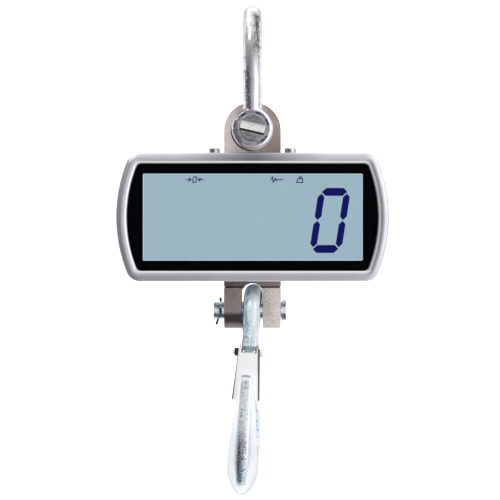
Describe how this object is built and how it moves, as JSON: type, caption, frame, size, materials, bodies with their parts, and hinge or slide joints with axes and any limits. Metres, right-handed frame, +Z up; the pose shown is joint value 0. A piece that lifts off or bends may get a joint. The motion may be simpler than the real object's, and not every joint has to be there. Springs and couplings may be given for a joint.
{
  "type": "hanging crane scale",
  "caption": "Hanging crane scale: bow shackle and screw pin over a load cell, a sealed case with a large numeric display, and an eye hook with a spring latch below.",
  "frame": {"origin": "inside of the shackle's crown, where the crane hook bears", "axes": "+Z up along the load line, +X to the viewer's right, the display faces -Y"},
  "size_m": [0.2246, 0.093, 0.4167],
  "materials": {
    "forged_plated": "bright plated forging, slightly mottled",
    "pin_steel": "dark plated, fine turned finish",
    "cell_nickel": "warm grey nickel-plated, fine grain",
    "gauge_foil": "amber foil backing",
    "steel_sheet": "plain zinc-plated sheet",
    "screw_black": "black oxide",
    "cable_jacket": "matt cable jacket",
    "screw_zinc": "bright zinc",
    "seal_rubber": "matt black rubber",
    "case_aluminium": "satin blasted and brushed aluminium",
    "display_glass": "clear glass with a gloss front",
    "lcd_face": "pale grey-blue reflective panel",
    "diffuser_plastic": "milky light guide",
    "zebra_rubber": "striped contact rubber",
    "circuit_board": "green solder resist",
    "ribbon_film": "flat film cable",
    "brass_spacer": "turned brass",
    "black_plastic": "moulded, fine texture",
    "connector_plastic": "ivory nylon",
    "battery_sleeve": "plain printed sleeve",
    "lead_red": "soft insulation",
    "button_steel": "turned stainless steel",
    "plate_aluminium": "blank brushed plate",
    "zinc_pin": "bright zinc",
    "zinc_forging": "zinc-plated forging, mottled",
    "latch_steel": "bright plated pressing",
    "spring_wire": "drawn spring wire"
  },
  "bodies": {
    "shackle": {"shackle_bow": "forged_plated", "shackle_pin": "pin_steel"},
    "scale": {"load_cell": "cell_nickel", "strain_gauges": "gauge_foil", "gauge_covers": "steel_sheet", "gauge_cover_screws": "screw_black", "cell_cable": "cable_jacket", "case_brackets": "steel_sheet", "bracket_screws": "screw_black", "case_cap_screws": "screw_black", "cap_screw_washers": "screw_zinc", "top_seal": "seal_rubber", "bottom_seal": "seal_rubber", "front_bezel": "case_aluminium", "rear_housing": "case_aluminium", "housing_gasket": "seal_rubber", "housing_screws": "screw_zinc", "display_glass": "display_glass", "glass_seal": "seal_rubber", "lcd_panel": "lcd_face", "lcd_backlight": "diffuser_plastic", "zebra_strips": "zebra_rubber", "display_board": "circuit_board", "display_board_screws": "screw_zinc", "ribbon_cable": "ribbon_film", "main_board": "circuit_board", "board_spacers": "brass_spacer", "board_screws": "screw_zinc", "buzzer": "black_plastic", "board_connectors": "connector_plastic", "battery_holder": "black_plastic", "battery_cells": "battery_sleeve", "battery_springs": "screw_zinc", "battery_lead": "lead_red", "battery_cover_seal": "seal_rubber", "button_body": "button_steel", "button_spring": "screw_zinc", "button_nut": "screw_zinc", "button_lead": "cable_jacket", "rating_plate": "plate_aluminium", "plate_rivets": "screw_zinc"},
    "battery_cover": {"battery_cover": "case_aluminium", "battery_cover_screws": "screw_zinc"},
    "power_button": {"power_button": "button_steel"},
    "hook_pin": {"hook_pin": "zinc_pin", "hook_split_pin": "pin_steel"},
    "hook": {"hook": "zinc_forging", "latch_bolt": "pin_steel", "latch_nut": "pin_steel", "latch_spring": "spring_wire"},
    "latch": {"latch": "latch_steel"}
  },
  "joints": [
    {"name": "scale_swing", "type": "hinge", "parent": "shackle", "child": "scale", "pos_m": [0, 0, -0.0913], "axis": [0, 1, 0], "range_deg": [-90, 90]},
    {"name": "battery_cover_lift", "type": "slide", "parent": "scale", "child": "battery_cover", "axis": [0, 1, 0], "range_m": [0, 0.04]},
    {"name": "power_button_press", "type": "slide", "parent": "scale", "child": "power_button", "axis": [0, -1, 0], "range_m": [0, 0.0012], "stiffness_N_per_m": 1200, "springref_m": -0.0006, "deforming": ["button_spring"]},
    {"name": "hook_swing", "type": "hinge", "parent": "scale", "child": "hook_pin", "pos_m": [0, 0, -0.2442], "axis": [1, 0, 0], "range_deg": [-60, 60]},
    {"name": "hook_rock", "type": "hinge", "parent": "hook_pin", "child": "hook", "pos_m": [0, 0, -0.2442], "axis": [0, 1, 0], "range_deg": [-6.6, 0]},
    {"name": "latch_open", "type": "hinge", "parent": "hook", "child": "latch", "pos_m": [-0.00277, -0.0152, -0.27889], "axis": [0.9971, -0.0506, -0.0575], "range_deg": [0, 45], "stiffness_Nm_per_rad": 0.03, "springref_deg": -28.65, "deforming": ["latch_spring"]}
  ]
}
